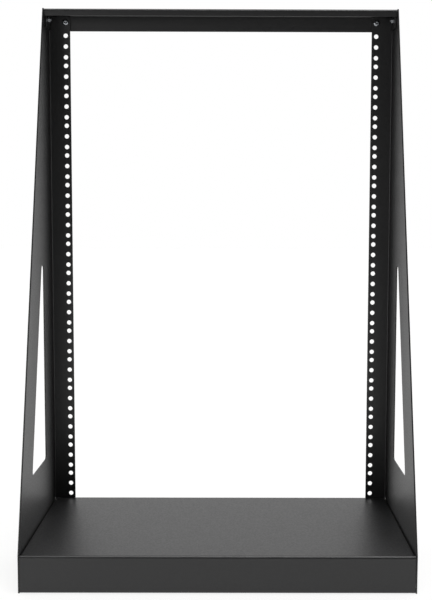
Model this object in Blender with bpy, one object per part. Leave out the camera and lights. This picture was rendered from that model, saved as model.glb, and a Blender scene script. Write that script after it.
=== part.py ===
"""Two-post open frame rack for 19 inch panels: two folded side frames, a crossbar and a base pan.

Metres, +Z up. The rack stands on z = 0, its drilled rail flanges face -Y and its front is at -Y.
Every sheet piece is drawn as its outer skin, a plate with flaps that turn through real bends, and
is given its thickness by Solidify. Holes and cut-outs are then cut through the folded sheet.
"""
import math

import bmesh
import bpy
from mathutils import Vector

MM = 0.001

# Panel standard: the unit, its three holes and the distance between the two hole columns
UNIT_HEIGHT = 44.45 * MM
UNIT_COUNT = 16
UNIT_HOLE_MARGIN = 6.35 * MM
HOLE_COLUMN_SPACING = 465.1 * MM
RAIL_HOLE_DIAMETER = 6.6 * MM

# Sheet steel and its folds
SHEET = 2.0 * MM
BEND_INSIDE_RADIUS = 1.5 * MM
BEND_STEPS = 5
RELIEF_WIDTH = 1.5 * MM
RELIEF_DEPTH = 0.6 * MM
FIT_GAP = 0.3 * MM

# Side frames: the flange around the hole column, and the panel's slanted outline
HOLE_TO_PANEL = 24.45 * MM
HOLE_TO_FLANGE_EDGE = 6.75 * MM
FRONT_DEPTH = 266.5 * MM
TOP_DEPTH = 43.0 * MM

# Triangular cut-out in each side panel
CUTOUT_REAR_MARGIN = 67.0 * MM
CUTOUT_ABOVE_BASE = 78.7 * MM
CUTOUT_SLANT_MARGIN = 67.8 * MM
CUTOUT_TOP_RADIUS = 10.0 * MM
CUTOUT_CORNER_RADIUS = 6.0 * MM
CUTOUT_CORNER_STEPS = 5

# Base pan
BASE_HEIGHT = 49.6 * MM
BASE_TO_FIRST_UNIT = 1.2 * MM
BASE_LIP = 15.0 * MM
BASE_SIDE_WALL = 40.0 * MM
BASE_SCREW_SETBACK = 35.0 * MM
BASE_SCREW_DROP = 24.0 * MM

# Top crossbar
CROSSBAR_HEIGHT = 25.1 * MM
CROSSBAR_LIP = 10.5 * MM
CROSSBAR_ABOVE_LAST_UNIT = 0.5 * MM
CROSSBAR_BELOW_PANEL_TOP = 0.1 * MM
CROSSBAR_FRONT_SETBACK = 1.0 * MM
TAB_REAR_CLEARANCE = 1.5 * MM

# Button head socket screws and hexagon nuts
SCREW_DIAMETER = 5.0 * MM
SCREW_LENGTH = 10.0 * MM
SCREW_END_CHAMFER = 0.5 * MM
SCREW_HOLE_CLEARANCE = 0.3 * MM
HEAD_DIAMETER = 9.5 * MM
HEAD_HEIGHT = 2.75 * MM
HEAD_RIM = 0.6 * MM
HEAD_FLAT_DIAMETER = 4.6 * MM
SOCKET_ACROSS_FLATS = 3.0 * MM
SOCKET_DEPTH = 1.5 * MM
NUT_ACROSS_FLATS = 8.0 * MM
NUT_THICKNESS = 4.0 * MM
NUT_CHAMFER = 0.5 * MM
HARDWARE_SIDES = 18
RAIL_HOLE_SIDES = 16

# Sizes that follow from the ones above
BEND_OUTSIDE_RADIUS = BEND_INSIDE_RADIUS + SHEET
PANEL_INNER = HOLE_COLUMN_SPACING / 2 + HOLE_TO_PANEL
PANEL_OUTER = PANEL_INNER + SHEET
FLANGE_EDGE = HOLE_COLUMN_SPACING / 2 - HOLE_TO_FLANGE_EDGE
FITTED_HALF_WIDTH = PANEL_INNER - FIT_GAP
REAR_FACE = 2 * SHEET + FIT_GAP
FLANGE_FOOT = BASE_HEIGHT + FIT_GAP
FIRST_UNIT = BASE_HEIGHT + BASE_TO_FIRST_UNIT
LAST_UNIT_TOP = FIRST_UNIT + UNIT_COUNT * UNIT_HEIGHT
CROSSBAR_TOP = LAST_UNIT_TOP + CROSSBAR_ABOVE_LAST_UNIT + CROSSBAR_HEIGHT
PANEL_TOP = CROSSBAR_TOP + CROSSBAR_BELOW_PANEL_TOP
FLANGE_TOP = CROSSBAR_TOP - SHEET - BEND_INSIDE_RADIUS - FIT_GAP
CROSSBAR_FRONT = -TOP_DEPTH + CROSSBAR_FRONT_SETBACK
CROSSBAR_SCREW_Z = CROSSBAR_TOP - CROSSBAR_HEIGHT / 2
TAB_REAR = -BEND_INSIDE_RADIUS - TAB_REAR_CLEARANCE
TAB_SCREW_Y = (CROSSBAR_FRONT + TAB_REAR) / 2
BASE_SCREW_Z = BASE_HEIGHT - BASE_SCREW_DROP
SCREW_HOLE_DIAMETER = SCREW_DIAMETER + 2 * SCREW_HOLE_CLEARANCE
REAR_REACH = max(SCREW_LENGTH - FIT_GAP, REAR_FACE + FIT_GAP + NUT_THICKNESS)
CENTRING_SHIFT = (FRONT_DEPTH - REAR_REACH) / 2

AXIS_VECTORS = {"X": Vector((1, 0, 0)), "Y": Vector((0, 1, 0)), "Z": Vector((0, 0, 1))}


def clear_scene():
    """Start from an empty scene."""
    for obj in list(bpy.data.objects):
        bpy.data.objects.remove(obj, do_unlink=True)


def make_material(name, colour, roughness, metallic):
    """A Principled material in the finish seen on the rack."""
    material = bpy.data.materials.new(name)
    material.use_nodes = True
    shader = material.node_tree.nodes["Principled BSDF"]
    shader.inputs["Base Color"].default_value = (*colour, 1.0)
    shader.inputs["Roughness"].default_value = roughness
    shader.inputs["Metallic"].default_value = metallic
    return material


def make_object(name, bm, material, parent):
    """Link a bmesh as a named object with its material, parented to the rack's empty."""
    mesh = bpy.data.meshes.new(name)
    bm.to_mesh(mesh)
    bm.free()
    mesh.materials.append(material)
    mesh.shade_smooth()
    mesh.set_sharp_from_angle(angle=math.radians(30))
    obj = bpy.data.objects.new(name, mesh)
    bpy.context.scene.collection.objects.link(obj)
    obj.parent = parent
    return obj


def flap_section(turns):
    """Points (out, down) of a folded flap: each turn is a quarter bend and the straight after it."""
    out, down, heading = 0.0, 0.0, 0.0
    points = [(out, down)]
    for straight in turns:
        centre_out = out - BEND_OUTSIDE_RADIUS * math.sin(heading)
        centre_down = down + BEND_OUTSIDE_RADIUS * math.cos(heading)
        for step in range(1, BEND_STEPS + 1):
            angle = heading + math.radians(90) * step / BEND_STEPS
            points.append((centre_out + BEND_OUTSIDE_RADIUS * math.sin(angle),
                           centre_down - BEND_OUTSIDE_RADIUS * math.cos(angle)))
        heading += math.radians(90)
        out = points[-1][0] + straight * math.cos(heading)
        down = points[-1][1] + straight * math.sin(heading)
        points.append((out, down))
    return points


def fold_sheet(name, plate, flaps, inward, material, parent):
    """Fold one sheet: a flat plate and flaps (start, end, outward direction, turns) along its edges.

    The plate's corners run counter-clockwise as seen from outside the sheet, and a flap's start and
    end are two of them in that order. The sheet's thickness grows inward.
    """
    bm = bmesh.new()
    corners = {tuple(point): bm.verts.new(point) for point in plate}
    bm.faces.new([corners[tuple(point)] for point in plate])
    for start, end, outward, turns in flaps:
        near = (corners[tuple(start)], corners[tuple(end)])
        for out, down in flap_section(turns)[1:]:
            shift = outward * out + inward * down
            far = (bm.verts.new(start + shift), bm.verts.new(end + shift))
            bm.faces.new((near[1], near[0], far[0], far[1]))
            near = far
    sheet = make_object(name, bm, material, parent)
    thickness = sheet.modifiers.new("sheet thickness", "SOLIDIFY")
    thickness.thickness = SHEET
    thickness.offset = -1.0
    thickness.use_even_offset = True
    return sheet


def add_prism(bm, outline, axis, low, high):
    """Add a prism to a bmesh: a closed outline of 3-D points at zero on the axis, swept along it."""
    direction = AXIS_VECTORS[axis]
    base = bm.faces.new([bm.verts.new(point + direction * low) for point in outline])
    swept = bmesh.ops.extrude_face_region(bm, geom=[base])
    moved = [item for item in swept["geom"] if isinstance(item, bmesh.types.BMVert)]
    bmesh.ops.translate(bm, verts=moved, vec=direction * (high - low))


def circle(centre, diameter, sides, axis):
    """Corners of a round hole's outline, whose flats lie on the stated diameter."""
    first, second = [AXIS_VECTORS[name] for name in "XYZ" if name != axis]
    radius = diameter / 2 / math.cos(math.pi / sides)
    angles = [2 * math.pi * (index + 0.5) / sides for index in range(sides)]
    return [centre + (first * math.cos(angle) + second * math.sin(angle)) * radius for angle in angles]


def round_corners(outline, radii, steps):
    """Replace each corner of a closed convex outline by an arc of its own radius."""
    rounded = []
    for index, (corner, radius) in enumerate(zip(outline, radii)):
        before = (outline[index - 1] - corner).normalized()
        after = (outline[(index + 1) % len(outline)] - corner).normalized()
        half_angle = before.angle(after) / 2
        centre = corner + (before + after).normalized() * radius / math.sin(half_angle)
        start = (corner + before * radius / math.tan(half_angle) - centre).normalized()
        end = (corner + after * radius / math.tan(half_angle) - centre).normalized()
        for step in range(steps + 1):
            rounded.append(centre + start.slerp(end, step / steps) * radius)
    return rounded


def cut(sheet, bm, name, parent):
    """Cut the shapes of a bmesh out of a sheet."""
    bmesh.ops.recalc_face_normals(bm, faces=bm.faces)
    mesh = bpy.data.meshes.new(name)
    bm.to_mesh(mesh)
    bm.free()
    cutter = bpy.data.objects.new(name, mesh)
    bpy.context.scene.collection.objects.link(cutter)
    cutter.parent = parent
    cutter.hide_render = True
    cutter.display_type = "WIRE"
    boolean = sheet.modifiers.new(name, "BOOLEAN")
    boolean.operation = "DIFFERENCE"
    boolean.solver = "EXACT"
    boolean.object = cutter


def rail_hole_heights():
    """Heights of the panel holes: one near each end of every unit and one in its middle."""
    in_unit = (UNIT_HOLE_MARGIN, UNIT_HEIGHT / 2, UNIT_HEIGHT - UNIT_HOLE_MARGIN)
    return [FIRST_UNIT + unit * UNIT_HEIGHT + height for unit in range(UNIT_COUNT) for height in in_unit]


def base_screw_positions():
    """Distances behind the rail face of the three screws on each side of the base pan."""
    front = -FRONT_DEPTH + BASE_SCREW_SETBACK
    rear = REAR_FACE - BASE_SCREW_SETBACK
    return {"front": front, "middle": (front + rear) / 2, "rear": rear}


def cutout_outline(side):
    """The triangular cut-out: upright at the rear, level below, slanted along the panel's front edge."""
    rear = -CUTOUT_REAR_MARGIN
    bottom = BASE_HEIGHT + CUTOUT_ABOVE_BASE
    slant = Vector((0.0, FRONT_DEPTH - TOP_DEPTH, PANEL_TOP - BASE_HEIGHT)).normalized()
    on_edge = Vector((0.0, -FRONT_DEPTH, BASE_HEIGHT))
    on_line = on_edge + Vector((0.0, slant.z, -slant.y)) * CUTOUT_SLANT_MARGIN
    front_at_bottom = on_line.y + (bottom - on_line.z) * slant.y / slant.z
    top_at_rear = on_line.z + (rear - on_line.y) * slant.z / slant.y
    corners = [Vector((0.0, rear, bottom)), Vector((0.0, rear, top_at_rear)),
               Vector((0.0, front_at_bottom, bottom))]
    radii = (CUTOUT_CORNER_RADIUS, CUTOUT_TOP_RADIUS, CUTOUT_CORNER_RADIUS)
    return round_corners(corners, radii, CUTOUT_CORNER_STEPS)


def build_side_frame(name, side, material, parent):
    """One folded sheet: the slanted side panel and the drilled rail flange turned in at its rear."""
    bend_line = SHEET - BEND_OUTSIDE_RADIUS
    notch = bend_line - RELIEF_DEPTH
    outline = [(-FRONT_DEPTH, 0.0), (REAR_FACE, 0.0),
               (REAR_FACE, FLANGE_FOOT - RELIEF_WIDTH), (notch, FLANGE_FOOT - RELIEF_WIDTH),
               (notch, FLANGE_FOOT), (bend_line, FLANGE_FOOT),
               (bend_line, FLANGE_TOP), (notch, FLANGE_TOP),
               (notch, PANEL_TOP), (-TOP_DEPTH, PANEL_TOP), (-FRONT_DEPTH, BASE_HEIGHT)]
    plate = [Vector((side * PANEL_OUTER, y, z)) for y, z in outline]
    foot, top = plate[5], plate[6]
    flange = [PANEL_OUTER - FLANGE_EDGE - BEND_OUTSIDE_RADIUS]
    if side > 0:
        flaps = [(foot, top, AXIS_VECTORS["Y"], flange)]
    else:
        plate.reverse()
        flaps = [(top, foot, AXIS_VECTORS["Y"], flange)]
    inward = AXIS_VECTORS["X"] * -side
    frame = fold_sheet(name, plate, flaps, inward, material, parent)

    holes = bmesh.new()
    column = side * HOLE_COLUMN_SPACING / 2
    for height in rail_hole_heights():
        outline = circle(Vector((column, 0.0, height)), RAIL_HOLE_DIAMETER, RAIL_HOLE_SIDES, "Y")
        add_prism(holes, outline, "Y", -SHEET, 2 * SHEET)
    outline = circle(Vector((column, 0.0, CROSSBAR_SCREW_Z)), SCREW_HOLE_DIAMETER, HARDWARE_SIDES, "Y")
    add_prism(holes, outline, "Y", -SHEET, 2 * SHEET)
    through = sorted((side * (PANEL_INNER - SHEET), side * (PANEL_OUTER + SHEET)))
    screws = [(y, BASE_SCREW_Z) for y in base_screw_positions().values()]
    screws.append((TAB_SCREW_Y, CROSSBAR_SCREW_Z))
    for y, z in screws:
        outline = circle(Vector((0.0, y, z)), SCREW_HOLE_DIAMETER, HARDWARE_SIDES, "X")
        add_prism(holes, outline, "X", *through)
    add_prism(holes, cutout_outline(side), "X", *through)
    cut(frame, holes, name + " holes", parent)
    return frame


def build_crossbar(name, material, parent):
    """One folded sheet: a top plate with a front lip, a flange behind the rails and two end tabs."""
    half = FITTED_HALF_WIDTH
    tab_line = half - BEND_OUTSIDE_RADIUS
    rear_line = REAR_FACE - BEND_OUTSIDE_RADIUS
    front_line = CROSSBAR_FRONT + BEND_OUTSIDE_RADIUS
    rear_ear = rear_line - RELIEF_WIDTH
    front_ear = front_line + RELIEF_WIDTH
    notch = tab_line - RELIEF_DEPTH
    right = [(half, front_line), (half, front_ear), (notch, front_ear),
             (notch, front_ear + RELIEF_WIDTH), (tab_line, front_ear + RELIEF_WIDTH),
             (tab_line, TAB_REAR), (notch, TAB_REAR), (notch, rear_ear), (half, rear_ear),
             (half, rear_line)]
    outline = right + [(-x, y) for x, y in reversed(right)]
    plate = [Vector((x, y, CROSSBAR_TOP)) for x, y in outline]
    drop = [CROSSBAR_HEIGHT - BEND_OUTSIDE_RADIUS]
    lip = [CROSSBAR_LIP - BEND_OUTSIDE_RADIUS]
    flaps = [(plate[4], plate[5], AXIS_VECTORS["X"], drop),
             (plate[9], plate[10], AXIS_VECTORS["Y"], drop),
             (plate[14], plate[15], -AXIS_VECTORS["X"], drop),
             (plate[19], plate[0], -AXIS_VECTORS["Y"], lip)]
    bar = fold_sheet(name, plate, flaps, -AXIS_VECTORS["Z"], material, parent)

    holes = bmesh.new()
    for side in (-1, 1):
        centre = Vector((side * HOLE_COLUMN_SPACING / 2, 0.0, CROSSBAR_SCREW_Z))
        outline = circle(centre, SCREW_HOLE_DIAMETER, HARDWARE_SIDES, "Y")
        add_prism(holes, outline, "Y", REAR_FACE - 2 * SHEET, REAR_FACE + SHEET)
        through = sorted((side * (half - 2 * SHEET), side * (half + SHEET)))
        outline = circle(Vector((0.0, TAB_SCREW_Y, CROSSBAR_SCREW_Z)), SCREW_HOLE_DIAMETER,
                         HARDWARE_SIDES, "X")
        add_prism(holes, outline, "X", *through)
    cut(bar, holes, name + " holes", parent)
    return bar


def build_base_pan(name, material, parent):
    """One folded sheet: a top with front and rear walls that return below, and two side walls."""
    half = FITTED_HALF_WIDTH
    side_line = half - BEND_OUTSIDE_RADIUS
    rear_line = REAR_FACE - BEND_OUTSIDE_RADIUS
    front_line = -FRONT_DEPTH + BEND_OUTSIDE_RADIUS
    notch = side_line - RELIEF_DEPTH
    rear_ear = rear_line - RELIEF_WIDTH
    front_ear = front_line + RELIEF_WIDTH
    right = [(half, front_line), (half, front_ear), (notch, front_ear),
             (notch, front_ear + RELIEF_WIDTH), (side_line, front_ear + RELIEF_WIDTH),
             (side_line, rear_ear - RELIEF_WIDTH), (notch, rear_ear - RELIEF_WIDTH),
             (notch, rear_ear), (half, rear_ear), (half, rear_line)]
    outline = right + [(-x, y) for x, y in reversed(right)]
    plate = [Vector((x, y, BASE_HEIGHT)) for x, y in outline]
    wall = BASE_HEIGHT - 2 * BEND_OUTSIDE_RADIUS
    lip = BASE_LIP - BEND_OUTSIDE_RADIUS
    side_wall = BASE_SIDE_WALL - BEND_OUTSIDE_RADIUS
    flaps = [(plate[4], plate[5], AXIS_VECTORS["X"], [side_wall]),
             (plate[9], plate[10], AXIS_VECTORS["Y"], [wall, lip]),
             (plate[14], plate[15], -AXIS_VECTORS["X"], [side_wall]),
             (plate[19], plate[0], -AXIS_VECTORS["Y"], [wall, lip])]
    pan = fold_sheet(name, plate, flaps, -AXIS_VECTORS["Z"], material, parent)

    holes = bmesh.new()
    for side in (-1, 1):
        through = sorted((side * (half - 2 * SHEET), side * (half + SHEET)))
        for y in base_screw_positions().values():
            outline = circle(Vector((0.0, y, BASE_SCREW_Z)), SCREW_HOLE_DIAMETER, HARDWARE_SIDES, "X")
            add_prism(holes, outline, "X", *through)
    cut(pan, holes, name + " holes", parent)
    return pan


def round_ring(radius):
    """Corner radii of a round ring."""
    return [radius] * HARDWARE_SIDES


def hexagon_ring(across_flats):
    """Corner radii of a ring that follows a hexagon."""
    sector = 2 * math.pi / 6
    angles = [2 * math.pi * index / HARDWARE_SIDES for index in range(HARDWARE_SIDES)]
    return [across_flats / 2 / math.cos(angle % sector - sector / 2) for angle in angles]


def stack_rings(rings, hollow):
    """Bridge rings (height, radii) into one body, capped at both ends or closed on itself."""
    bm = bmesh.new()
    loops = []
    for height, radii in rings:
        loop = []
        for index, radius in enumerate(radii):
            angle = 2 * math.pi * index / HARDWARE_SIDES
            loop.append(bm.verts.new((radius * math.cos(angle), radius * math.sin(angle), height)))
        loops.append(loop)
    pairs = list(zip(loops, loops[1:]))
    if hollow:
        pairs.append((loops[-1], loops[0]))
    else:
        bm.faces.new(loops[0])
        bm.faces.new(loops[-1])
    for lower, upper in pairs:
        for index in range(HARDWARE_SIDES):
            after = (index + 1) % HARDWARE_SIDES
            bm.faces.new((lower[index], lower[after], upper[after], upper[index]))
    bmesh.ops.recalc_face_normals(bm, faces=bm.faces)
    return bm


def screw_body():
    """Button head socket screw: its seat is at zero, the head above it and the shank below."""
    shank = SCREW_DIAMETER / 2
    rings = [(-SCREW_LENGTH, round_ring(shank - SCREW_END_CHAMFER)),
             (-SCREW_LENGTH + SCREW_END_CHAMFER, round_ring(shank)),
             (0.0, round_ring(shank)),
             (0.0, round_ring(HEAD_DIAMETER / 2))]
    dome = HEAD_HEIGHT - HEAD_RIM
    spread = (HEAD_DIAMETER - HEAD_FLAT_DIAMETER) / 2
    for angle in (0, 30, 60, 90):
        height = HEAD_RIM + dome * math.sin(math.radians(angle))
        radius = HEAD_FLAT_DIAMETER / 2 + spread * math.cos(math.radians(angle))
        rings.append((height, round_ring(radius)))
    rings.append((HEAD_HEIGHT, hexagon_ring(SOCKET_ACROSS_FLATS)))
    rings.append((HEAD_HEIGHT - SOCKET_DEPTH, hexagon_ring(SOCKET_ACROSS_FLATS)))
    return stack_rings(rings, hollow=False)


def nut_body():
    """Hexagon nut with chamfered corners, one face at zero and the body below it."""
    bore = round_ring(SCREW_HOLE_DIAMETER / 2)
    face = round_ring(NUT_ACROSS_FLATS / 2 - NUT_CHAMFER / 2)
    hexagon = hexagon_ring(NUT_ACROSS_FLATS)
    rings = [(0.0, bore), (-NUT_THICKNESS, bore), (-NUT_THICKNESS, face),
             (-NUT_THICKNESS + NUT_CHAMFER, hexagon), (-NUT_CHAMFER, hexagon), (0.0, face)]
    return stack_rings(rings, hollow=True)


def place_fastener(name, body, seat, head_direction, material, parent):
    """Stand a turned body on its seat with its head side towards a direction."""
    fastener = make_object(name, body, material, parent)
    fastener.location = seat
    fastener.rotation_euler = head_direction.to_track_quat("Z", "Y").to_euler()
    return fastener


def place_screw_and_nut(name, surface, head_direction, material, parent):
    """A screw on an outer surface and its nut behind the two sheets that it clamps."""
    seat = surface + head_direction * FIT_GAP
    place_fastener(name + "_screw", screw_body(), seat, head_direction, material, parent)
    stack = 2 * SHEET + 2 * FIT_GAP
    place_fastener(name + "_nut", nut_body(), surface - head_direction * stack, head_direction,
                   material, parent)


def build_rack():
    """Build every piece of the rack."""
    clear_scene()
    powder_coat = make_material("black powder coat", (0.012, 0.012, 0.0125), 0.4, 0.0)
    zinc = make_material("zinc plated steel", (0.62, 0.63, 0.64), 0.35, 1.0)
    rack = bpy.data.objects.new("rack", None)
    rack.location = (0.0, CENTRING_SHIFT, 0.0)
    bpy.context.scene.collection.objects.link(rack)

    build_base_pan("base_pan", powder_coat, rack)
    build_crossbar("top_crossbar", powder_coat, rack)
    for label, side in (("left", -1), ("right", 1)):
        build_side_frame("side_frame_" + label, side, powder_coat, rack)
        outward = AXIS_VECTORS["X"] * side
        rail_face = Vector((side * HOLE_COLUMN_SPACING / 2, 0.0, CROSSBAR_SCREW_Z))
        place_screw_and_nut("crossbar_rail_" + label, rail_face, -AXIS_VECTORS["Y"], zinc, rack)
        tab_face = Vector((side * PANEL_OUTER, TAB_SCREW_Y, CROSSBAR_SCREW_Z))
        place_screw_and_nut("crossbar_side_" + label, tab_face, outward, zinc, rack)
        for place, y in base_screw_positions().items():
            wall_face = Vector((side * PANEL_OUTER, y, BASE_SCREW_Z))
            place_screw_and_nut(f"base_{place}_{label}", wall_face, outward, zinc, rack)


build_rack()
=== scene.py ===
"""Two-post open frame rack for 19 inch panels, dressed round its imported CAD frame.

The four folded sheets and the button head screws with their nuts are made again in fine mesh, each
where its CAD node is, and stand in a plain studio. Metres, +Z up, the rack's front is at -Y.
"""

import math
from types import SimpleNamespace

import bmesh
import bpy
from bpy.props import FloatProperty, FloatVectorProperty, IntProperty, PointerProperty
from mathutils import Matrix, Vector


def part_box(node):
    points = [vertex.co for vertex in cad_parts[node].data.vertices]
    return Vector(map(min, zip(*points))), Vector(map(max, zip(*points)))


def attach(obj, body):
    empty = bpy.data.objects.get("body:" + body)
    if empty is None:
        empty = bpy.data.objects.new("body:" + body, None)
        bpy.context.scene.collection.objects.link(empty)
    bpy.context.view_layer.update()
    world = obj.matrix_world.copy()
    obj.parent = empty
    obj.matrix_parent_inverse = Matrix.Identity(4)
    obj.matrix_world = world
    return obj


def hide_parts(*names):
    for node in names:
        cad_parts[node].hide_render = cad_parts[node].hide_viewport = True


bl_info = {
    "name": "Two-post open frame rack",
    "version": (1, 0, 0),
    "blender": (4, 5, 0),
    "location": "3D View > Sidebar > Rack",
    "description": "Folds the rack's sheets, turns its screws and nuts, and lights it in a studio",
    "category": "Object",
}

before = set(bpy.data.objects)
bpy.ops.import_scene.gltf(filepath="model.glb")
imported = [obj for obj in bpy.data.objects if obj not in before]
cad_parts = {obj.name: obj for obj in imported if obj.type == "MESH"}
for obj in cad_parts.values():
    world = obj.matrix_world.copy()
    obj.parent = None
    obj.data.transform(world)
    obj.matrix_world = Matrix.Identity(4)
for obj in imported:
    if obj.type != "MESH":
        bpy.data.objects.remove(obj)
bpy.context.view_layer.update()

MM = 0.001

# How far a piece may stand outside its CAD node's box, whose rings have fewer sides
NODE_TOLERANCE = 0.2 * MM

AXES = {"X": Vector((1, 0, 0)), "Y": Vector((0, 1, 0)), "Z": Vector((0, 0, 1))}

# Fineness of the meshes
BEND_STEPS = 12
CUTOUT_CORNER_STEPS = 12
HOLE_SIDES = 32
EDGE_SEGMENTS = 2
EDGE_ANGLE = math.radians(40)
ROUND_SIDES = 48
DOME_STEPS = 10
THREAD_RINGS_PER_TURN = 10

# How strongly the largest face at a corner rules its shading, in percent
FLAT_FACE_WEIGHT = 100

# Metric thread in shares of its pitch: its depth, and half the flats of its crests and its roots
THREAD_DEPTH = 0.6134
HALF_CREST = 1 / 16
HALF_ROOT = 1 / 8

# Small edges of the screws and nuts: the chamfers of a head's foot and of a socket's mouth, the
# rise and the tip's radius of the cone at a socket's bottom, a nut's play on its thread, and the
# countersink of its bore
HEAD_CHAMFER = 0.15 * MM
SOCKET_CHAMFER = 0.1 * MM
SOCKET_CONE = 0.2 * MM
NUT_PLAY = 0.05 * MM
NUT_COUNTERSINK = 0.25 * MM

# A nut's flat faces in shares of its width, and the angle at which its corners are turned off
NUT_FACE_SHARE = 0.95
NUT_CORNER_ANGLE = math.radians(30)

# The finishes, named for what they are and how they were put on
POWDER_COAT = "satin black powder coat on folded steel"
ZINC = "clear passivated zinc plating on steel"
PAPER = "matt white studio paper"

# Lowest and highest roughness over the grain of the two finishes
POWDER_ROUGHNESS = (0.37, 0.48)
ZINC_ROUGHNESS = (0.2, 0.32)

# The photograph's camera: its place in metres, its turn in degrees, its lens and sensor in
# millimetres, and its shift, which the framing needs
CAMERA_PLACE = (0.01971, -1.39892, 0.49355)
CAMERA_TURN = (85.0452, -0.1452, -0.1925)
CAMERA_LENS = 60.064
CAMERA_SENSOR = 36.0
CAMERA_SHIFT = (-0.0353, -0.00222)

# Share of the floor's lit paper that gives way to plain white for the rays that show the
# background, and the strength of that white: with them the floor is about 1 outside the shadow
FLOOR_WHITE_SHARE = 0.7
FLOOR_WHITE = 1.08

# Places of a colour mix: its two colours among its inputs, and the mixed one among its outputs
MIX_FIRST = 6
MIX_SECOND = 7
MIX_RESULT = 2

# The white wall fades in between these two slopes of the ray towards the back
WALL_START = -0.1
WALL_FULL = 0.3

# Share of that white which glosses also find in front of the rack, where the photograph's coating
# mirrors a dim room
ROOM_GLOSS = 0.03

# Soft lamps: name, place, aim, width and height in metres, power in watts
LAMPS = (
    ("lamp left", (-1.7, -2.3, 0.7), (0.0, 0.0, 0.6), 1.4, 0.7, 15.0),
    ("lamp right", (2.4, -1.1, 0.6), (0.0, 0.0, 0.3), 1.0, 1.2, 8.0),
)

# The wide soft light overhead, far enough away to fall evenly on the whole floor: the direction
# that it comes from, its angular width in degrees and its irradiance in watts per square metre
OVERHEAD = ((0.1, -0.15, 1.0), 32.0, 1.9)


def linear(hex_colour):
    """Linear colour values of an sRGB hex colour."""
    values = [int(hex_colour[place:place + 2], 16) / 255 for place in (1, 3, 5)]
    return [value / 12.92 if value <= 0.04045 else ((value + 0.055) / 1.055) ** 2.4
            for value in values]


def length(name, millimetres, description):
    """A length property whose default is given in millimetres."""
    return FloatProperty(name=name, description=description, default=millimetres * MM, min=0.0,
                         precision=5, unit="LENGTH")


def colour(name, hex_colour, description):
    """A colour property whose default is given as an sRGB hex colour."""
    return FloatVectorProperty(name=name, description=description, default=linear(hex_colour),
                               min=0.0, max=1.0, size=3, subtype="COLOR")


class RackSizes(bpy.types.PropertyGroup):
    """Sizes of the rack and of the sheet that it is folded from."""

    unit_height: length("Unit height", 44.45, "Height of one panel unit")
    unit_count: IntProperty(name="Units", description="Panel units that the rack takes", default=16,
                            min=1)
    hole_margin: length("Hole margin", 6.35, "From a unit's ends to its outer two holes")
    column_spacing: length("Column spacing", 465.1, "Between the two columns of panel holes")
    rail_hole: length("Panel hole", 6.6, "Diameter of the panel holes")
    sheet: length("Sheet thickness", 2.0, "Thickness of the steel sheet with its coating")
    bend_radius: length("Bend radius", 1.5, "Inside radius of every fold")
    edge_round: length("Edge rounding", 0.3, "Radius that the coating gives to the cut edges")
    relief_width: length("Relief width", 1.5, "Width of the notch at the end of a fold")
    relief_depth: length("Relief depth", 0.6, "How far a notch reaches past the fold")
    fit_gap: length("Fit gap", 0.3, "Gap between two pieces that are screwed together")
    foot_gap: length("Foot gap", 0.05, "Gap between the rail flange's foot and the base's top")
    hole_to_panel: length("Hole to panel", 24.45, "From the hole column to the panel's inner face")
    hole_to_edge: length("Hole to edge", 6.75, "From the hole column to the flange's free edge")
    front_depth: length("Front depth", 266.5, "From the rail face to the front of the base")
    top_depth: length("Top depth", 43.0, "From the rail face to the panel's front at the top")
    cutout_rear: length("Cut-out setback", 67.0, "From the rail face to the cut-out's upright edge")
    cutout_rise: length("Cut-out rise", 78.7, "From the base's top to the cut-out's level edge")
    cutout_slant: length("Cut-out to slant", 67.8, "From the panel's slanted edge to the cut-out's")
    cutout_top_radius: length("Cut-out top", 10.0, "Radius of the cut-out's top corner")
    cutout_radius: length("Cut-out corners", 6.0, "Radius of the cut-out's lower corners")
    base_height: length("Base height", 49.6, "Height of the base pan")
    base_to_unit: length("Base to first unit", 1.2, "From the base's top to the first panel unit")
    base_lip: length("Base lip", 15.0, "Width of the lips turned in below the base")
    base_side_wall: length("Base side wall", 40.0, "Height of the base's two side walls")
    base_setback: length("Base screw setback", 35.0, "From the base's ends to its outer screws")
    base_drop: length("Base screw drop", 24.0, "From the base's top down to its screws")
    bar_height: length("Crossbar height", 25.1, "Height of the crossbar's rear flange and tabs")
    bar_lip: length("Crossbar lip", 10.5, "Height of the crossbar's front lip")
    bar_rise: length("Crossbar rise", 0.5, "From the last panel unit to the crossbar")
    bar_drop: length("Crossbar drop", 0.1, "From the panels' top ends down to the crossbar's top")
    bar_setback: length("Crossbar setback", 1.0, "From the panels' front to the crossbar's front")
    tab_clearance: length("Tab clearance", 1.5, "From the panel's fold to the crossbar's end tab")


class FastenerSizes(bpy.types.PropertyGroup):
    """Sizes of the M5 button head socket screws and their hexagon nuts."""

    thread: length("Thread", 5.0, "Outer diameter of the thread")
    pitch: length("Pitch", 0.8, "Rise of the thread in one turn")
    length: length("Length", 10.0, "Length of the screw below its head")
    end_chamfer: length("End chamfer", 0.5, "Chamfer at the screw's end")
    head: length("Head", 9.5, "Diameter of the button head")
    head_height: length("Head height", 2.75, "Height of the button head")
    head_rim: length("Head rim", 0.6, "Height of the straight rim below the dome")
    head_flat: length("Head flat", 4.6, "Diameter of the flat round the socket")
    socket: length("Socket", 3.0, "Across the flats of the hexagon socket")
    socket_depth: length("Socket depth", 1.5, "Depth of the hexagon socket")
    nut: length("Nut", 8.0, "Across the flats of the nut")
    nut_height: length("Nut height", 4.0, "Thickness of the nut")


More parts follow.
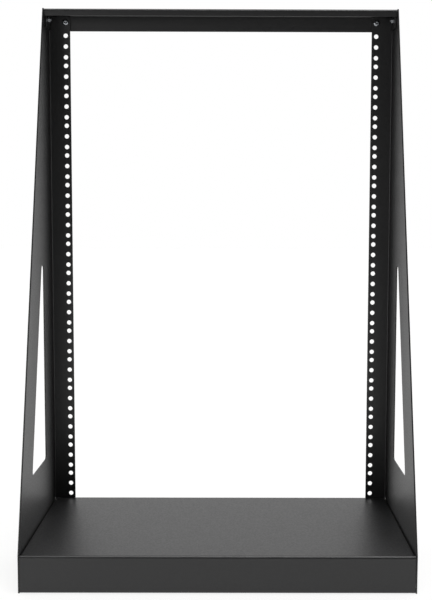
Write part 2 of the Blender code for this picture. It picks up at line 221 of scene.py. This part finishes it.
class RackFinish(bpy.types.PropertyGroup):
    """Colours and grain of the rack's two finishes."""

    powder: colour("Powder coat", "#0e0e0f", "Colour of the black powder coat")
    powder_thin: colour("Thin powder coat", "#131314", "Its colour where the film lies thinner")
    powder_grain: length("Powder grain", 2.4, "Distance between two dimples of the powder coat")
    powder_drift: length("Powder drift", 90.0, "Distance over which the film's thickness drifts")
    zinc: colour("Zinc", "#a9abae", "Colour of the zinc plating")
    zinc_dull: colour("Dull zinc", "#8a8d92", "Its colour where the passivation is thicker")
    zinc_grain: length("Zinc grain", 0.8, "Width of the clouds in the zinc plating")


class StudioLook(bpy.types.PropertyGroup):
    """Colours and sizes of the studio round the rack."""

    floor: colour("Floor", "#f2f2f0", "Colour of the floor")
    room: colour("Room", "#242426", "Colour of the room in front of the rack")
    floor_size: length("Floor size", 24000.0, "Side of the square floor")


PROPERTY_GROUPS = {"rack_sizes": RackSizes, "rack_fasteners": FastenerSizes,
                   "rack_finish": RackFinish, "rack_studio": StudioLook}


def layout(sizes):
    """The rack's places that follow from its sizes; y is counted from the rail face."""
    at = SimpleNamespace()
    at.bend = sizes.bend_radius + sizes.sheet
    at.column = sizes.column_spacing / 2
    at.panel_inner = at.column + sizes.hole_to_panel
    at.panel_outer = at.panel_inner + sizes.sheet
    at.flange_edge = at.column - sizes.hole_to_edge
    at.fitted_half = at.panel_inner - sizes.fit_gap
    at.rear_face = 2 * sizes.sheet + sizes.fit_gap
    at.flange_foot = sizes.base_height + sizes.foot_gap
    at.first_unit = sizes.base_height + sizes.base_to_unit
    last_unit_top = at.first_unit + sizes.unit_count * sizes.unit_height
    at.bar_top = last_unit_top + sizes.bar_rise + sizes.bar_height
    at.panel_top = at.bar_top + sizes.bar_drop
    at.flange_top = at.bar_top - at.bend - sizes.fit_gap
    at.bar_front = sizes.bar_setback - sizes.top_depth
    at.bar_screw_z = at.bar_top - sizes.bar_height / 2
    at.tab_rear = -sizes.bend_radius - sizes.tab_clearance
    at.tab_screw_y = (at.bar_front + at.tab_rear) / 2
    at.base_screw_z = sizes.base_height - sizes.base_drop
    front = sizes.base_setback - sizes.front_depth
    rear = at.rear_face - sizes.base_setback
    at.base_screws = {"front": front, "middle": (front + rear) / 2, "rear": rear}
    at.rail_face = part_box("base_pan")[0].y + sizes.front_depth
    return at


def flap_section(turns, sizes):
    """Points (out, down) of a folded flap: each turn is a quarter bend and the straight after."""
    radius = sizes.bend_radius + sizes.sheet
    out, down, heading = 0.0, 0.0, 0.0
    points = []
    for straight in turns:
        centre_out = out - radius * math.sin(heading)
        centre_down = down + radius * math.cos(heading)
        for step in range(1, BEND_STEPS + 1):
            angle = heading + math.radians(90) * step / BEND_STEPS
            out = centre_out + radius * math.sin(angle)
            down = centre_down - radius * math.cos(angle)
            points.append((out, down))
        heading += math.radians(90)
        out += straight * math.cos(heading)
        down += straight * math.sin(heading)
        points.append((out, down))
    return points


def fold_skin(plate, flaps, inward, sizes):
    """The outer skin of a folded sheet: a flat plate and flaps that turn along its edges."""
    bm = bmesh.new()
    corners = {tuple(point): bm.verts.new(point) for point in plate}
    bm.faces.new([corners[tuple(point)] for point in plate])
    for start, end, outward, turns in flaps:
        near = (corners[tuple(start)], corners[tuple(end)])
        for out, down in flap_section(turns, sizes):
            shift = outward * out + inward * down
            far = (bm.verts.new(start + shift), bm.verts.new(end + shift))
            bm.faces.new((near[1], near[0], far[0], far[1]))
            near = far
    return bm


def fold_tray(height, front, side_rear, turns, sizes, at):
    """The skin of a sheet that lies level between the side panels, with a flap down all round.

    The sheet reaches from its front to the rear face. Notches part its two side flaps, which end at
    side_rear, from the rear and the front one, and turns says how each of the three kinds turns.
    """
    half = at.fitted_half
    side_line = half - at.bend
    rear_line = at.rear_face - at.bend
    front_line = front + at.bend
    notch = side_line - sizes.relief_depth
    rear_ear = rear_line - sizes.relief_width
    front_ear = front_line + sizes.relief_width
    side_front = front_ear + sizes.relief_width
    right = [(half, front_line), (half, front_ear), (notch, front_ear), (notch, side_front),
             (side_line, side_front), (side_line, side_rear), (notch, side_rear),
             (notch, rear_ear), (half, rear_ear), (half, rear_line)]
    outline = right + [(-x, y) for x, y in reversed(right)]
    plate = [Vector((x, y, height)) for x, y in outline]

    # Each flap turns down between two neighbouring corners of the outline
    side_turns, rear_turns, front_turns = turns
    flaps = [(plate[4], plate[5], AXES["X"], side_turns),
             (plate[9], plate[10], AXES["Y"], rear_turns),
             (plate[14], plate[15], -AXES["X"], side_turns),
             (plate[19], plate[0], -AXES["Y"], front_turns)]
    return fold_skin(plate, flaps, -AXES["Z"], sizes)


def circle(centre, diameter, sides, axis):
    """Corners of a round outline across an axis, whose flats lie on the diameter."""
    first, second = [AXES[name] for name in "XYZ" if name != axis]
    radius = diameter / 2 / math.cos(math.pi / sides)
    angles = [2 * math.pi * (index + 0.5) / sides for index in range(sides)]
    return [centre + (first * math.cos(angle) + second * math.sin(angle)) * radius
            for angle in angles]


def round_corners(outline, radii, steps):
    """Replace each corner of a closed convex outline by an arc of its own radius."""
    rounded = []
    for index, (corner, radius) in enumerate(zip(outline, radii)):
        before = (outline[index - 1] - corner).normalized()
        after = (outline[(index + 1) % len(outline)] - corner).normalized()
        half_angle = before.angle(after) / 2
        centre = corner + (before + after).normalized() * radius / math.sin(half_angle)
        start = (corner + before * radius / math.tan(half_angle) - centre).normalized()
        end = (corner + after * radius / math.tan(half_angle) - centre).normalized()
        rounded += [centre + start.slerp(end, step / steps) * radius for step in range(steps + 1)]
    return rounded


def add_punch(bm, outline, axis, low, high):
    """Add a punch to a bmesh: a closed outline at zero on the axis, swept from low to high."""
    base = bm.faces.new([bm.verts.new(point + AXES[axis] * low) for point in outline])
    swept = bmesh.ops.extrude_face_region(bm, geom=[base])
    moved = [item for item in swept["geom"] if isinstance(item, bmesh.types.BMVert)]
    bmesh.ops.translate(bm, verts=moved, vec=AXES[axis] * (high - low))


def punch_hole(bm, centre, diameter, axis, low, high):
    """Add the punch of a round hole to a bmesh."""
    add_punch(bm, circle(centre, diameter, HOLE_SIDES, axis), axis, low, high)


def screw_hole():
    """Diameter of the clearance holes for the screws."""
    scene = bpy.context.scene
    return scene.rack_fasteners.thread + 2 * scene.rack_sizes.fit_gap


def punch_side_flap(bm, side, y, z, sizes, at):
    """Add the punch of a screw hole through a tray's left or right flap to a bmesh."""
    low, high = sorted((side * (at.fitted_half - 2 * sizes.sheet),
                        side * (at.fitted_half + sizes.sheet)))
    punch_hole(bm, Vector((0.0, y, z)), screw_hole(), "X", low, high)


def new_object(name, bm):
    """Link a bmesh as a new object and free it."""
    mesh = bpy.data.meshes.new(name)
    bm.to_mesh(mesh)
    bm.free()
    piece = bpy.data.objects.new(name, mesh)
    bpy.context.scene.collection.objects.link(piece)
    return piece


def apply_modifiers(piece):
    """Replace a piece's mesh by the one that its modifiers make of it."""
    evaluated = piece.evaluated_get(bpy.context.evaluated_depsgraph_get())
    plain = bpy.data.meshes.new_from_object(evaluated)
    piece.modifiers.clear()
    piece.data = plain


def make_sheet(name, skin, punches, sizes, at):
    """Give a skin its thickness, punch its holes and round its cut edges, as one plain mesh."""
    bmesh.ops.recalc_face_normals(punches, faces=punches.faces)
    sheet = new_object(name, skin)
    punch = new_object(name + "_punch", punches)

    solid = sheet.modifiers.new("thickness", "SOLIDIFY")
    solid.thickness = sizes.sheet
    solid.offset = -1.0
    solid.use_even_offset = True
    holes = sheet.modifiers.new("holes", "BOOLEAN")
    holes.operation = "DIFFERENCE"
    holes.solver = "EXACT"
    holes.object = punch
    edges = sheet.modifiers.new("rounded edges", "BEVEL")
    edges.width = sizes.edge_round
    edges.segments = EDGE_SEGMENTS
    edges.limit_method = "ANGLE"
    edges.angle_limit = EDGE_ANGLE
    edges.use_clamp_overlap = False

    apply_modifiers(sheet)
    sheet.data.transform(Matrix.Translation((0.0, at.rail_face, 0.0)))
    bpy.data.objects.remove(punch, do_unlink=True)
    smooth(sheet)
    return sheet


def smooth(piece):
    """Shade a piece smooth over its bends and rounded edges, with its flat faces kept flat."""
    piece.data.shade_smooth()
    weighted = piece.modifiers.new("flat faces", "WEIGHTED_NORMAL")
    weighted.mode = "FACE_AREA"
    weighted.weight = FLAT_FACE_WEIGHT
    apply_modifiers(piece)


def stand_for(piece, node, material):
    """Let a piece replace its CAD node, in whose box it has to lie and material."""
    low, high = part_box(node)
    for vertex in piece.data.vertices:
        for axis in range(3):
            if not low[axis] - NODE_TOLERANCE <= vertex.co[axis] <= high[axis] + NODE_TOLERANCE:
                raise RuntimeError(f"{piece.name} leaves the box of {node} at {vertex.co}")
    piece.data.materials.clear()
    piece.data.materials.append(material)
    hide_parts(node)
    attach(piece, "root")


def new_material(name):
    """A new material, its node tree and the shader in it."""
    material = bpy.data.materials.new(name)
    material.use_nodes = True
    return material, material.node_tree, material.node_tree.nodes["Principled BSDF"]


def add_node(tree, kind, settings=None, **links):
    """Add a node with its settings and links.

    A setting goes by its name or by an input's place, and a link by the place alone, as in in0 for
    the first input.
    """
    node = tree.nodes.new(kind)
    for name, value in (settings or {}).items():
        if isinstance(name, int) or name in node.inputs:
            node.inputs[name].default_value = value
        else:
            setattr(node, name, value)
    for name, source in links.items():
        tree.links.new(source, node.inputs[int(name[2:])])
    return node


def shown(tree, gloss):
    """One for rays that show a thing directly or through a clear one, and gloss for glossy rays."""
    rays = add_node(tree, "ShaderNodeLightPath")
    direct = add_node(tree, "ShaderNodeMath", {"operation": "MAXIMUM"},
                      in0=rays.outputs["Is Camera Ray"], in1=rays.outputs["Is Transmission Ray"])
    glossy = add_node(tree, "ShaderNodeMath", {"operation": "MULTIPLY", 1: gloss},
                      in0=rays.outputs["Is Glossy Ray"])
    return add_node(tree, "ShaderNodeMath", {"operation": "MAXIMUM"},
                    in0=direct.outputs[0], in1=glossy.outputs[0]).outputs[0]


def powder_coat(name):
    """Satin black polyester powder coat, sprayed and baked on folded steel.

    It looks soft and even: a low sheen that grows bright at a grazing angle, over dimples that the
    melting powder leaves. The real dimples are about 0.4 mm wide, too fine to show, so they are
    drawn as coarse as the grain size says.
    """
    look = bpy.context.scene.rack_finish
    material, tree, shader = new_material(name)
    shader.inputs["IOR"].default_value = 1.56
    shader.inputs["Metallic"].default_value = 0.0
    place = add_node(tree, "ShaderNodeTexCoord").outputs["Object"]

    # Film thickness drifts over about a hand's width
    drift = add_node(tree, "ShaderNodeTexNoise", {"Scale": 1 / look.powder_drift, "Detail": 3.0},
                     in0=place)
    tint = add_node(tree, "ShaderNodeMix",
                    {"data_type": "RGBA", MIX_FIRST: (*look.powder, 1.0),
                     MIX_SECOND: (*look.powder_thin, 1.0)}, in0=drift.outputs["Fac"])
    tree.links.new(tint.outputs[MIX_RESULT], shader.inputs["Base Color"])

    # Dimples change the gloss a little and the slope of the surface
    grain = add_node(tree, "ShaderNodeTexNoise",
                     {"Scale": 1 / look.powder_grain, "Detail": 2.0, "Roughness": 0.55}, in0=place)
    smoothest, roughest = POWDER_ROUGHNESS
    gloss = add_node(tree, "ShaderNodeMapRange",
                     {"From Min": 0.3, "From Max": 0.7, "To Min": smoothest, "To Max": roughest},
                     in0=grain.outputs["Fac"])
    tree.links.new(gloss.outputs["Result"], shader.inputs["Roughness"])
    bump = add_node(tree, "ShaderNodeBump", {"Strength": 0.35, "Distance": 0.08 * MM})
    tree.links.new(grain.outputs["Fac"], bump.inputs["Height"])
    tree.links.new(bump.outputs["Normal"], shader.inputs["Normal"])
    return material


def zinc_plating(name):
    """Bright zinc plating on cold headed steel, clear passivated.

    It looks pale silver and slightly cloudy, with a soft gleam that breaks up over the grain of the
    plating. The crystals are far too fine to show, so their clouds are drawn as wide as the grain
    size says.
    """
    look = bpy.context.scene.rack_finish
    material, tree, shader = new_material(name)
    shader.inputs["Metallic"].default_value = 1.0
    place = add_node(tree, "ShaderNodeTexCoord").outputs["Object"]
    clouds = add_node(tree, "ShaderNodeTexNoise", {"Scale": 1 / look.zinc_grain, "Detail": 3.0},
                      in0=place)
    tint = add_node(tree, "ShaderNodeMix",
                    {"data_type": "RGBA", MIX_FIRST: (*look.zinc_dull, 1.0),
                     MIX_SECOND: (*look.zinc, 1.0)}, in0=clouds.outputs["Fac"])
    tree.links.new(tint.outputs[MIX_RESULT], shader.inputs["Base Color"])
    smoothest, roughest = ZINC_ROUGHNESS
    gloss = add_node(tree, "ShaderNodeMapRange", {"To Min": smoothest, "To Max": roughest},
                     in0=clouds.outputs["Fac"])
    tree.links.new(gloss.outputs["Result"], shader.inputs["Roughness"])
    bump = add_node(tree, "ShaderNodeBump", {"Strength": 0.2, "Distance": 0.02 * MM})
    tree.links.new(clouds.outputs["Fac"], bump.inputs["Height"])
    tree.links.new(bump.outputs["Normal"], shader.inputs["Normal"])
    return material


def floor_paper(name):
    """Matt white studio paper, which shows the rack's soft shadow and is plain white elsewhere."""
    look = bpy.context.scene.rack_studio
    material, tree, shader = new_material(name)
    shader.inputs["Roughness"].default_value = 0.9
    shader.inputs["Base Color"].default_value = (*look.floor, 1.0)
    white = add_node(tree, "ShaderNodeEmission", {"Strength": FLOOR_WHITE})
    share = add_node(tree, "ShaderNodeMath", {"operation": "MULTIPLY", 1: FLOOR_WHITE_SHARE},
                     in0=shown(tree, 1.0))
    surface = add_node(tree, "ShaderNodeMixShader", in0=share.outputs[0], in1=shader.outputs[0],
                       in2=white.outputs[0])
    tree.links.new(surface.outputs[0], tree.nodes["Material Output"].inputs["Surface"])
    return material


FINISHES = {POWDER_COAT: powder_coat, ZINC: zinc_plating, PAPER: floor_paper}


def finish(name):
    """The finish of this name, made the first time that it is asked for."""
    return bpy.data.materials.get(name) or FINISHES[name](name)


class RACK_OT_side_frames(bpy.types.Operator):
    """Fold the two side frames: slanted panel, drilled rail flange and cut-out"""

    bl_idname = "rack.side_frames"
    bl_label = "Side frames"

    def execute(self, context):
        sizes = context.scene.rack_sizes
        at = layout(sizes)
        for label, side in (("left", -1), ("right", 1)):
            skin = self.skin(side, sizes, at)
            punches = self.punches(side, sizes, at)
            sheet = make_sheet("folded_side_" + label, skin, punches, sizes, at)
            stand_for(sheet, "side_frame_" + label, finish(POWDER_COAT))
        return {"FINISHED"}

    def skin(self, side, sizes, at):
        """The panel's outline with its rail flange turned in at the rear."""
        bend_line = sizes.sheet - at.bend
        notch = bend_line - sizes.relief_depth
        outline = [(-sizes.front_depth, 0.0), (at.rear_face, 0.0),
                   (at.rear_face, at.flange_foot - sizes.relief_width),
                   (notch, at.flange_foot - sizes.relief_width), (notch, at.flange_foot),
                   (bend_line, at.flange_foot), (bend_line, at.flange_top),
                   (notch, at.flange_top), (notch, at.panel_top),
                   (-sizes.top_depth, at.panel_top), (-sizes.front_depth, sizes.base_height)]
        plate = [Vector((side * at.panel_outer, y, z)) for y, z in outline]
        foot, top = plate[5], plate[6]
        turns = [at.panel_outer - at.flange_edge - at.bend]
        if side < 0:
            plate.reverse()
            foot, top = top, foot
        return fold_skin(plate, [(foot, top, AXES["Y"], turns)], AXES["X"] * -side, sizes)

    def punches(self, side, sizes, at):
        """The panel holes, the screw holes and the triangular cut-out."""
        punches = bmesh.new()
        reach = 2 * sizes.sheet
        column = side * at.column
        for unit in range(sizes.unit_count):
            for height in (sizes.hole_margin, sizes.unit_height / 2,
                           sizes.unit_height - sizes.hole_margin):
                centre = Vector((column, 0.0, at.first_unit + unit * sizes.unit_height + height))
                punch_hole(punches, centre, sizes.rail_hole, "Y", -reach, reach)
        centre = Vector((column, 0.0, at.bar_screw_z))
        punch_hole(punches, centre, screw_hole(), "Y", -reach, reach)
        low, high = sorted((side * (at.panel_inner - reach), side * (at.panel_outer + reach)))
        screws = [(y, at.base_screw_z) for y in at.base_screws.values()]
        for y, z in screws + [(at.tab_screw_y, at.bar_screw_z)]:
            punch_hole(punches, Vector((0.0, y, z)), screw_hole(), "X", low, high)
        add_punch(punches, self.cutout(sizes, at), "X", low, high)
        return punches

    def cutout(self, sizes, at):
        """The cut-out: upright at the rear, level below, and slanted along the panel's front."""
        rear = -sizes.cutout_rear
        bottom = sizes.base_height + sizes.cutout_rise
        slant = Vector((0.0, sizes.front_depth - sizes.top_depth, at.panel_top - sizes.base_height))
        slant.normalize()
        on_line = (Vector((0.0, -sizes.front_depth, sizes.base_height))
                   + Vector((0.0, slant.z, -slant.y)) * sizes.cutout_slant)
        front = on_line.y + (bottom - on_line.z) * slant.y / slant.z
        top = on_line.z + (rear - on_line.y) * slant.z / slant.y
        corners = [Vector((0.0, y, z)) for y, z in ((rear, bottom), (rear, top), (front, bottom))]
        radii = (sizes.cutout_radius, sizes.cutout_top_radius, sizes.cutout_radius)
        return round_corners(corners, radii, CUTOUT_CORNER_STEPS)


class RACK_OT_crossbar(bpy.types.Operator):
    """Fold the top crossbar: a plate, a front lip, a flange behind the rails and two end tabs"""

    bl_idname = "rack.crossbar"
    bl_label = "Top crossbar"

    def execute(self, context):
        sizes = context.scene.rack_sizes
        at = layout(sizes)
        drop = [sizes.bar_height - at.bend]
        lip = [sizes.bar_lip - at.bend]
        skin = fold_tray(at.bar_top, at.bar_front, at.tab_rear, (drop, drop, lip), sizes, at)

        punches = bmesh.new()
        for side in (-1, 1):
            centre = Vector((side * at.column, 0.0, at.bar_screw_z))
            punch_hole(punches, centre, screw_hole(), "Y", at.rear_face - 2 * sizes.sheet,
                       at.rear_face + sizes.sheet)
            punch_side_flap(punches, side, at.tab_screw_y, at.bar_screw_z, sizes, at)
        sheet = make_sheet("folded_crossbar", skin, punches, sizes, at)
        stand_for(sheet, "top_crossbar", finish(POWDER_COAT))
        return {"FINISHED"}


class RACK_OT_base_pan(bpy.types.Operator):
    """Fold the base pan: a level top, front and rear walls with lips, and two side walls"""

    bl_idname = "rack.base_pan"
    bl_label = "Base pan"

    def execute(self, context):
        sizes = context.scene.rack_sizes
        at = layout(sizes)
        side_wall = [sizes.base_side_wall - at.bend]
        end_wall = [sizes.base_height - 2 * at.bend, sizes.base_lip - at.bend]
        wall_rear = at.rear_face - at.bend - 2 * sizes.relief_width
        skin = fold_tray(sizes.base_height, -sizes.front_depth, wall_rear,
                         (side_wall, end_wall, end_wall), sizes, at)

        punches = bmesh.new()
        for side in (-1, 1):
            for y in at.base_screws.values():
                punch_side_flap(punches, side, y, at.base_screw_z, sizes, at)
        sheet = make_sheet("folded_base", skin, punches, sizes, at)
        stand_for(sheet, "base_pan", finish(POWDER_COAT))
        return {"FINISHED"}


def ring_angles():
    """Directions of the corners of a turned body's rings."""
    return [2 * math.pi * index / ROUND_SIDES for index in range(ROUND_SIDES)]


def hexagon_radii(across_flats):
    """Radii of a ring that follows a hexagon."""
    sector = math.pi / 3
    return [across_flats / 2 / math.cos(angle % sector - sector / 2) for angle in ring_angles()]


def stack_rings(rings, hollow):
    """Bridge rings (heights, radii) into one closed body; a single number holds all round."""
    bm = bmesh.new()
    loops = []
    for heights, radii in rings:
        loop = []
        for index, angle in enumerate(ring_angles()):
            height = heights[index] if isinstance(heights, list) else heights
            radius = radii[index] if isinstance(radii, list) else radii
            loop.append(bm.verts.new((radius * math.cos(angle), radius * math.sin(angle), height)))
        loops.append(loop)
    pairs = list(zip(loops, loops[1:]))
    if hollow:
        pairs.append((loops[-1], loops[0]))
    else:
        for loop in (loops[0], loops[-1]):
            bm.faces.new(loop)
    for lower, upper in pairs:
        for index in range(ROUND_SIDES):
            after = (index + 1) % ROUND_SIDES
            bm.faces.new((lower[index], lower[after], upper[after], upper[index]))
    bmesh.ops.recalc_face_normals(bm, faces=bm.faces)
    return bm


def thread_radius(sizes, angle, height):
    """Radius of the screw's thread: flat crests and roots joined by 30 degree flanks."""
    turn = (height / sizes.pitch - angle / (2 * math.pi)) % 1.0
    flank = 0.5 - HALF_CREST - HALF_ROOT
    depth = min(max((abs(turn - 0.5) - HALF_CREST) / flank, 0.0), 1.0)
    return sizes.thread / 2 - THREAD_DEPTH * sizes.pitch * depth


def screw_body(sizes):
    """Button head socket screw: its seat at zero, the domed head above and the thread below."""
    angles = ring_angles()
    rings = []
    turns = sizes.length / sizes.pitch
    count = round(turns * THREAD_RINGS_PER_TURN)
    for ring in range(count + 1):
        height = -sizes.length * (1 - ring / count)
        limit = sizes.thread / 2 - max(0.0, sizes.end_chamfer - (height + sizes.length))
        radii = [min(limit, thread_radius(sizes, angle, height)) for angle in angles]
        rings.append((height, radii))
    dome = sizes.head_height - sizes.head_rim
    spread = (sizes.head - sizes.head_flat) / 2
    rings.append((0.0, sizes.head / 2 - HEAD_CHAMFER))
    rings.append((HEAD_CHAMFER, sizes.head / 2))
    for step in range(DOME_STEPS + 1):
        angle = math.radians(90 / DOME_STEPS * step)
        radius = sizes.head_flat / 2 + spread * math.cos(angle)
        rings.append((sizes.head_rim + dome * math.sin(angle), radius))
    corner = sizes.socket / 2 / math.cos(math.pi / 6)
    hexagon = hexagon_radii(sizes.socket)
    rings.append((sizes.head_height, corner + SOCKET_CHAMFER))
    mouth = [sizes.head_height - SOCKET_CHAMFER - (corner - radius) for radius in hexagon]
    rings.append((mouth, hexagon))
    bottom = sizes.head_height - sizes.socket_depth
    rings.append((bottom + SOCKET_CONE, hexagon))
    rings.append((bottom, SOCKET_CONE))
    return stack_rings(rings, hollow=False)


def nut_body(sizes):
    """Hexagon nut, one face at zero and the body below, its corners turned off at 30 degrees."""
    hexagon = hexagon_radii(sizes.nut)
    face = sizes.nut / 2 * NUT_FACE_SHARE
    top = [(face - radius) * math.tan(NUT_CORNER_ANGLE) for radius in hexagon]
    bottom = [-sizes.nut_height - height for height in top]
    bore = sizes.thread / 2 + NUT_PLAY
    mouth = bore + NUT_COUNTERSINK
    rings = [(-NUT_COUNTERSINK, bore), (-sizes.nut_height + NUT_COUNTERSINK, bore),
             (-sizes.nut_height, mouth), (-sizes.nut_height, face), (bottom, hexagon),
             (top, hexagon), (0.0, face), (0.0, mouth)]
    return stack_rings(rings, hollow=True)


class RACK_OT_fasteners(bpy.types.Operator):
    """Turn the ten button head screws and their nuts"""

    bl_idname = "rack.fasteners"
    bl_label = "Screws and nuts"

    def execute(self, context):
        at = layout(context.scene.rack_sizes)
        for label, side in (("left", -1), ("right", 1)):
            outward = AXES["X"] * side
            rail = Vector((side * at.column, 0.0, at.bar_screw_z))
            self.place("crossbar_rail_" + label, rail, -AXES["Y"], context.scene, at)
            tab = Vector((side * at.panel_outer, at.tab_screw_y, at.bar_screw_z))
            self.place("crossbar_side_" + label, tab, outward, context.scene, at)
            for name, y in at.base_screws.items():
                wall = Vector((side * at.panel_outer, y, at.base_screw_z))
                self.place(f"base_{name}_{label}", wall, outward, context.scene, at)
        return {"FINISHED"}

    def place(self, node, surface, head_direction, scene, at):
        """A screw on an outer surface and its nut behind the two sheets that it clamps."""
        sizes = scene.rack_sizes
        turn = head_direction.to_track_quat("Z", "Y").to_matrix().to_4x4()
        stack = 2 * (sizes.sheet + sizes.fit_gap)
        for kind, body, offset in (("screw", screw_body, sizes.fit_gap), ("nut", nut_body, -stack)):
            seat = surface + head_direction * offset + AXES["Y"] * at.rail_face
            bm = body(scene.rack_fasteners)
            bm.transform(Matrix.Translation(seat) @ turn)
            piece = new_object(f"plated_{node}_{kind}", bm)
            piece.data.shade_smooth()
            piece.data.set_sharp_from_angle(angle=EDGE_ANGLE)
            stand_for(piece, f"{node}_{kind}", finish(ZINC))


class RACK_OT_studio(bpy.types.Operator):
    """Lay the white floor, light the room, hang the soft lamps and set up the camera"""

    bl_idname = "rack.studio"
    bl_label = "Studio"

    def execute(self, context):
        scene = context.scene
        self.lay_floor(scene)
        self.light_room(scene)
        for lamp in LAMPS:
            self.hang_lamp(scene, *lamp)
        self.light_overhead(scene, *OVERHEAD)
        self.set_camera(scene)
        scene.view_settings.view_transform = "Standard"
        return {"FINISHED"}

    def lay_floor(self, scene):
        """The wide paper floor of the studio."""
        bm = bmesh.new()
        bmesh.ops.create_grid(bm, x_segments=1, y_segments=1, size=scene.rack_studio.floor_size / 2)
        floor = new_object("studio_floor", bm)
        floor.data.materials.append(finish(PAPER))

    def light_room(self, scene):
        """A white wall behind the rack and a dim room in front of it.

        The camera sees white all round, and so do glosses, but only by their share in front.
        """
        world = bpy.data.worlds.new("white studio")
        scene.world = world
        world.use_nodes = True
        tree = world.node_tree
        backdrop = tree.nodes["Background"]
        direction = add_node(tree, "ShaderNodeTexCoord").outputs["Generated"]
        split = add_node(tree, "ShaderNodeSeparateXYZ", in0=direction)
        behind = add_node(tree, "ShaderNodeMapRange",
                          {"From Min": WALL_START, "From Max": WALL_FULL},
                          in0=split.outputs["Y"])
        white = add_node(tree, "ShaderNodeMath", {"operation": "MAXIMUM"},
                         in0=behind.outputs["Result"], in1=shown(tree, ROOM_GLOSS))
        shade = add_node(tree, "ShaderNodeMix",
                         {"data_type": "RGBA", MIX_FIRST: (*scene.rack_studio.room, 1.0),
                          MIX_SECOND: (1.0, 1.0, 1.0, 1.0)}, in0=white.outputs[0])
        tree.links.new(shade.outputs[MIX_RESULT], backdrop.inputs["Color"])

    def hang_lamp(self, scene, name, place, aim, width, height, power):
        """A flat soft lamp turned towards its aim."""
        lamp = bpy.data.lights.new(name, "AREA")
        lamp.shape = "RECTANGLE"
        lamp.size = width
        lamp.size_y = height
        lamp.energy = power
        holder = bpy.data.objects.new(name, lamp)
        holder.location = place
        holder.rotation_euler = (Vector(aim) - Vector(place)).to_track_quat("-Z", "Y").to_euler()
        scene.collection.objects.link(holder)

    def light_overhead(self, scene, direction, width, irradiance):
        """The even soft light from above."""
        light = bpy.data.lights.new("light overhead", "SUN")
        light.angle = math.radians(width)
        light.energy = irradiance
        holder = bpy.data.objects.new("light overhead", light)
        holder.rotation_euler = (-Vector(direction)).to_track_quat("-Z", "Y").to_euler()
        scene.collection.objects.link(holder)

    def set_camera(self, scene):
        """The camera that looks at the rack as the photograph does."""
        lens = bpy.data.cameras.new("photograph camera")
        lens.sensor_fit = "AUTO"
        lens.sensor_width = CAMERA_SENSOR
        lens.lens = CAMERA_LENS
        lens.shift_x, lens.shift_y = CAMERA_SHIFT
        camera = bpy.data.objects.new("photograph camera", lens)
        camera.location = CAMERA_PLACE
        camera.rotation_euler = [math.radians(angle) for angle in CAMERA_TURN]
        scene.collection.objects.link(camera)
        scene.camera = camera


OPERATORS = (RACK_OT_base_pan, RACK_OT_side_frames, RACK_OT_crossbar, RACK_OT_fasteners,
             RACK_OT_studio)


class RACK_PT_panel(bpy.types.Panel):
    """Sizes, finishes and steps of the rack"""

    bl_idname = "RACK_PT_panel"
    bl_label = "Open frame rack"
    bl_space_type = "VIEW_3D"
    bl_region_type = "UI"
    bl_category = "Rack"

    def draw(self, context):
        for operator in OPERATORS:
            self.layout.operator(operator.bl_idname)
        for name, group in PROPERTY_GROUPS.items():
            box = self.layout.box()
            box.label(text=group.bl_rna.description)
            for field in group.__annotations__:
                box.prop(getattr(context.scene, name), field)


CLASSES = (*PROPERTY_GROUPS.values(), *OPERATORS, RACK_PT_panel)


def register():
    """Register the classes and hang the property groups on the scene."""
    for item in CLASSES:
        bpy.utils.register_class(item)
    for name, group in PROPERTY_GROUPS.items():
        setattr(bpy.types.Scene, name, PointerProperty(type=group))


def unregister():
    """Take the property groups off the scene and unregister the classes."""
    for name in PROPERTY_GROUPS:
        delattr(bpy.types.Scene, name)
    for item in reversed(CLASSES):
        bpy.utils.unregister_class(item)


def main():
    """Build the rack and its studio."""
    register()
    bpy.ops.rack.base_pan()
    bpy.ops.rack.side_frames()
    bpy.ops.rack.crossbar()
    bpy.ops.rack.fasteners()
    bpy.ops.rack.studio()


if __name__ == "__main__":
    main()
